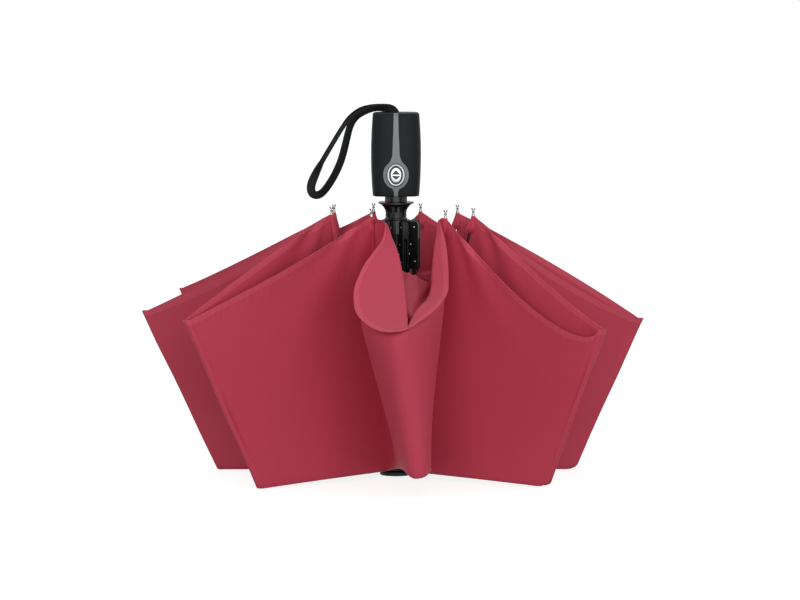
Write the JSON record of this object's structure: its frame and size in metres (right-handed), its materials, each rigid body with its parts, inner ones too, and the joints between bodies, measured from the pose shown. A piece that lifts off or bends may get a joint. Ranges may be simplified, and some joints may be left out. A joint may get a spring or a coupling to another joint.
{
  "type": "folding umbrella",
  "caption": "Compact folding umbrella with automatic button handle and wrist strap, its cloth folded loosely between the ribs, standing on its top cap with the handle up.",
  "frame": {"origin": "on the shaft axis, at the flat end face of the top cap, which is the lowest point of the umbrella as it stands folded", "axes": "+Z along the shaft towards the handle, -Y the way the push button faces, +X to the right seen from the button's side"},
  "size_m": [0.4055, 0.3851, 0.2994],
  "materials": {
    "cloth": "plain woven pongee, satin-matte, wine red on both sides",
    "black_plastic": "black moulded nylon, satin",
    "handle_black": "charcoal soft-touch coating",
    "grey_plastic": "mid grey satin plastic inlay",
    "chrome": "bright plated plastic with black arrows",
    "black_steel": "black lacquered steel tube",
    "rib_black": "black lacquered rib channels",
    "tip_steel": "nickel-plated rods and pegs",
    "bright_steel": "bright wire and plate",
    "webbing": "black woven webbing"
  },
  "bodies": {
    "canopy_and_shaft_top": {"top_cap": "black_plastic", "crown": "black_plastic", "crown_wire": "bright_steel", "outer_tube": "black_steel", "opening_spring": "bright_steel", "canopy_right_back": "cloth", "canopy_back": "cloth", "canopy_left_back": "cloth", "canopy_left": "cloth", "canopy_left_front": "cloth", "canopy_front": "cloth", "canopy_right_front": "cloth", "canopy_right": "cloth", "canopy_inner_folds": "cloth"},
    "middle_shaft": {"middle_tube": "black_steel"},
    "handle": {"inner_tube": "black_steel", "handle_front_shell": "handle_black", "handle_back_shell": "handle_black", "handle_inlay": "grey_plastic", "handle_screw": "bright_steel", "control_barrel": "black_plastic", "catch_spring": "bright_steel", "wrist_strap": "webbing"},
    "button": {"button_cap": "chrome", "catch_plate": "bright_steel"},
    "runner": {"runner_hub": "black_plastic", "runner_collar": "black_plastic", "runner_wire": "bright_steel"},
    "rib_right": {"main_rib_right": "rib_black", "middle_rib_right": "rib_black", "outer_rib_right": "tip_steel"},
    "strut_right": {"stretcher_right": "rib_black"},
    "rib_right_back": {"main_rib_right_back": "rib_black", "middle_rib_right_back": "rib_black", "outer_rib_right_back": "tip_steel"},
    "strut_right_back": {"stretcher_right_back": "rib_black"},
    "rib_left_back": {"main_rib_left_back": "rib_black", "middle_rib_left_back": "rib_black", "outer_rib_left_back": "tip_steel"},
    "strut_left_back": {"stretcher_left_back": "rib_black"},
    "rib_left": {"main_rib_left": "rib_black", "middle_rib_left": "rib_black", "outer_rib_left": "tip_steel"},
    "strut_left": {"stretcher_left": "rib_black"},
    "rib_left_front": {"main_rib_left_front": "rib_black", "middle_rib_left_front": "rib_black", "outer_rib_left_front": "tip_steel"},
    "strut_left_front": {"stretcher_left_front": "rib_black"},
    "rib_front_left": {"main_rib_front_left": "rib_black", "middle_rib_front_left": "rib_black", "outer_rib_front_left": "tip_steel"},
    "strut_front_left": {"stretcher_front_left": "rib_black"},
    "rib_front_right": {"main_rib_front_right": "rib_black", "middle_rib_front_right": "rib_black", "outer_rib_front_right": "tip_steel"},
    "strut_front_right": {"stretcher_front_right": "rib_black"},
    "rib_right_front": {"main_rib_right_front": "rib_black", "middle_rib_right_front": "rib_black", "outer_rib_right_front": "tip_steel"},
    "strut_right_front": {"stretcher_right_front": "rib_black"}
  },
  "joints": [
    {"name": "middle_shaft_slide", "type": "slide", "parent": "canopy_and_shaft_top", "child": "middle_shaft", "axis": [0, 0, 1], "range_m": [0, 0.13]},
    {"name": "handle_slide", "type": "slide", "parent": "middle_shaft", "child": "handle", "axis": [0, 0, 1], "range_m": [0, 0.13], "deforming": ["opening_spring"]},
    {"name": "button_press", "type": "slide", "parent": "handle", "child": "button", "axis": [0, 1, 0], "range_m": [0, 0.0025], "stiffness_N_per_m": 900, "springref_m": -0.002, "deforming": ["catch_spring"]},
    {"name": "runner_slide", "type": "slide", "parent": "canopy_and_shaft_top", "child": "runner", "axis": [0, 0, -1], "range_m": [0, 0.012], "deforming": ["canopy_right_back", "canopy_back", "canopy_left_back", "canopy_left", "canopy_left_front", "canopy_front", "canopy_right_front", "canopy_right", "canopy_inner_folds"]},
    {"name": "rib_right_hinge", "type": "hinge", "parent": "canopy_and_shaft_top", "child": "rib_right", "pos_m": [0.00831, 0.00344, 0.012], "axis": [-0.3827, 0.9239, 0], "range_deg": [0, 24.7]},
    {"name": "stretcher_right_hinge", "type": "hinge", "parent": "rib_right", "child": "strut_right", "pos_m": [0.00952, 0.00394, 0.087], "axis": [-0.3827, 0.9239, 0], "range_deg": [-40.9, 0]},
    {"name": "rib_right_back_hinge", "type": "hinge", "parent": "canopy_and_shaft_top", "child": "rib_right_back", "pos_m": [0.00344, 0.00831, 0.012], "axis": [-0.9239, 0.3827, 0], "range_deg": [0, 24.7]},
    {"name": "stretcher_right_back_hinge", "type": "hinge", "parent": "rib_right_back", "child": "strut_right_back", "pos_m": [0.00394, 0.00952, 0.087], "axis": [-0.9239, 0.3827, 0], "range_deg": [-40.9, 0]},
    {"name": "rib_left_back_hinge", "type": "hinge", "parent": "canopy_and_shaft_top", "child": "rib_left_back", "pos_m": [-0.00344, 0.00831, 0.012], "axis": [-0.9239, -0.3827, 0], "range_deg": [0, 24.7]},
    {"name": "stretcher_left_back_hinge", "type": "hinge", "parent": "rib_left_back", "child": "strut_left_back", "pos_m": [-0.00394, 0.00952, 0.087], "axis": [-0.9239, -0.3827, 0], "range_deg": [-40.9, 0]},
    {"name": "rib_left_hinge", "type": "hinge", "parent": "canopy_and_shaft_top", "child": "rib_left", "pos_m": [-0.00831, 0.00344, 0.012], "axis": [-0.3827, -0.9239, 0], "range_deg": [0, 24.7]},
    {"name": "stretcher_left_hinge", "type": "hinge", "parent": "rib_left", "child": "strut_left", "pos_m": [-0.00952, 0.00394, 0.087], "axis": [-0.3827, -0.9239, 0], "range_deg": [-40.9, 0]},
    {"name": "rib_left_front_hinge", "type": "hinge", "parent": "canopy_and_shaft_top", "child": "rib_left_front", "pos_m": [-0.00831, -0.00344, 0.012], "axis": [0.3827, -0.9239, 0], "range_deg": [0, 24.7]},
    {"name": "stretcher_left_front_hinge", "type": "hinge", "parent": "rib_left_front", "child": "strut_left_front", "pos_m": [-0.00952, -0.00394, 0.087], "axis": [0.3827, -0.9239, 0], "range_deg": [-40.9, 0]},
    {"name": "rib_front_left_hinge", "type": "hinge", "parent": "canopy_and_shaft_top", "child": "rib_front_left", "pos_m": [-0.00344, -0.00831, 0.012], "axis": [0.9239, -0.3827, 0], "range_deg": [0, 24.7]},
    {"name": "stretcher_front_left_hinge", "type": "hinge", "parent": "rib_front_left", "child": "strut_front_left", "pos_m": [-0.00394, -0.00952, 0.087], "axis": [0.9239, -0.3827, 0], "range_deg": [-40.9, 0]},
    {"name": "rib_front_right_hinge", "type": "hinge", "parent": "canopy_and_shaft_top", "child": "rib_front_right", "pos_m": [0.00344, -0.00831, 0.012], "axis": [0.9239, 0.3827, 0], "range_deg": [0, 24.7]},
    {"name": "stretcher_front_right_hinge", "type": "hinge", "parent": "rib_front_right", "child": "strut_front_right", "pos_m": [0.00394, -0.00952, 0.087], "axis": [0.9239, 0.3827, 0], "range_deg": [-40.9, 0]},
    {"name": "rib_right_front_hinge", "type": "hinge", "parent": "canopy_and_shaft_top", "child": "rib_right_front", "pos_m": [0.00831, -0.00344, 0.012], "axis": [0.3827, 0.9239, 0], "range_deg": [0, 24.7]},
    {"name": "stretcher_right_front_hinge", "type": "hinge", "parent": "rib_right_front", "child": "strut_right_front", "pos_m": [0.00952, -0.00394, 0.087], "axis": [0.3827, 0.9239, 0], "range_deg": [-40.9, 0]}
  ],
  "couplings": [
    {"joint": "rib_right_hinge", "follows": "runner_slide", "rad_per_m": 35.76},
    {"joint": "stretcher_right_hinge", "follows": "runner_slide", "rad_per_m": -59.25},
    {"joint": "rib_right_back_hinge", "follows": "runner_slide", "rad_per_m": 35.76},
    {"joint": "stretcher_right_back_hinge", "follows": "runner_slide", "rad_per_m": -59.25},
    {"joint": "rib_left_back_hinge", "follows": "runner_slide", "rad_per_m": 35.76},
    {"joint": "stretcher_left_back_hinge", "follows": "runner_slide", "rad_per_m": -59.25},
    {"joint": "rib_left_hinge", "follows": "runner_slide", "rad_per_m": 35.76},
    {"joint": "stretcher_left_hinge", "follows": "runner_slide", "rad_per_m": -59.25},
    {"joint": "rib_left_front_hinge", "follows": "runner_slide", "rad_per_m": 35.76},
    {"joint": "stretcher_left_front_hinge", "follows": "runner_slide", "rad_per_m": -59.25},
    {"joint": "rib_front_left_hinge", "follows": "runner_slide", "rad_per_m": 35.76},
    {"joint": "stretcher_front_left_hinge", "follows": "runner_slide", "rad_per_m": -59.25},
    {"joint": "rib_front_right_hinge", "follows": "runner_slide", "rad_per_m": 35.76},
    {"joint": "stretcher_front_right_hinge", "follows": "runner_slide", "rad_per_m": -59.25},
    {"joint": "rib_right_front_hinge", "follows": "runner_slide", "rad_per_m": 35.76},
    {"joint": "stretcher_right_front_hinge", "follows": "runner_slide", "rad_per_m": -59.25}
  ]
}
